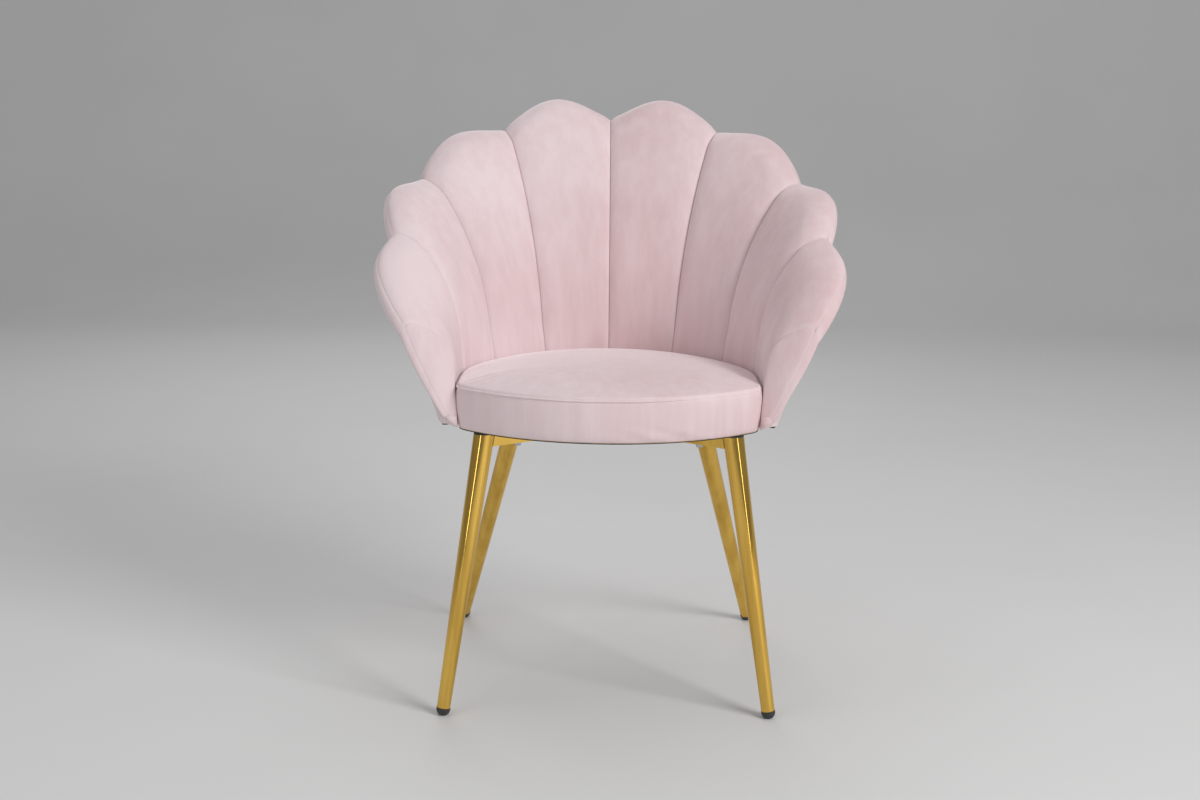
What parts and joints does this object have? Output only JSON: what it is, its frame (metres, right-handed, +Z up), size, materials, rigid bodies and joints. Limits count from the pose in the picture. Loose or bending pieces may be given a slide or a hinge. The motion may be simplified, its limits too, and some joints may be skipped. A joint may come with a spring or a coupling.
{
  "type": "scallop back armchair",
  "caption": "Upholstered armchair with a scalloped shell back of padded velvet petals round a deep round seat, on splayed tapered gold legs.",
  "frame": {"origin": "on the floor under the middle of the chair's box", "axes": "+X to the viewer's right when facing the chair, -Y out of the seat's front, +Z up"},
  "size_m": [0.6776, 0.5848, 0.8519],
  "materials": {
    "velvet": "matte",
    "foam": "matte",
    "plywood": "matte",
    "lining": "matte",
    "steel": "satin",
    "gold": "polished",
    "black_plastic": "satin"
  },
  "bodies": {
    "root": {"base_board": "plywood", "shell_board": "plywood", "seat_foam": "foam", "back_foam": "foam", "seat_top_cover": "velvet", "seat_band_cover": "velvet", "seat_welt": "velvet", "back_cover": "velvet", "dust_cover": "lining", "dust_cover_staples": "steel", "shell_screws": "steel", "frame_bolts": "steel", "frame_washers": "steel", "tee_nuts": "steel", "petal_foam_left_1": "foam", "petal_cover_left_1": "velvet", "petal_foam_left_2": "foam", "petal_cover_left_2": "velvet", "petal_foam_left_3": "foam", "petal_cover_left_3": "velvet", "petal_foam_left_4": "foam", "petal_cover_left_4": "velvet", "petal_foam_left_5": "foam", "petal_cover_left_5": "velvet", "leg_front_left": "gold", "leg_cap_front_left": "black_plastic", "glide_front_left": "black_plastic", "leg_rear_left": "gold", "leg_cap_rear_left": "black_plastic", "glide_rear_left": "black_plastic", "petal_foam_right_1": "foam", "petal_cover_right_1": "velvet", "petal_foam_right_2": "foam", "petal_cover_right_2": "velvet", "petal_foam_right_3": "foam", "petal_cover_right_3": "velvet", "petal_foam_right_4": "foam", "petal_cover_right_4": "velvet", "petal_foam_right_5": "foam", "petal_cover_right_5": "velvet", "leg_front_right": "gold", "leg_cap_front_right": "black_plastic", "glide_front_right": "black_plastic", "leg_rear_right": "gold", "leg_cap_rear_right": "black_plastic", "glide_rear_right": "black_plastic", "cross_bar_long": "gold", "cross_bar_half_front": "gold", "cross_bar_half_rear": "gold"}
  },
  "joints": []
}
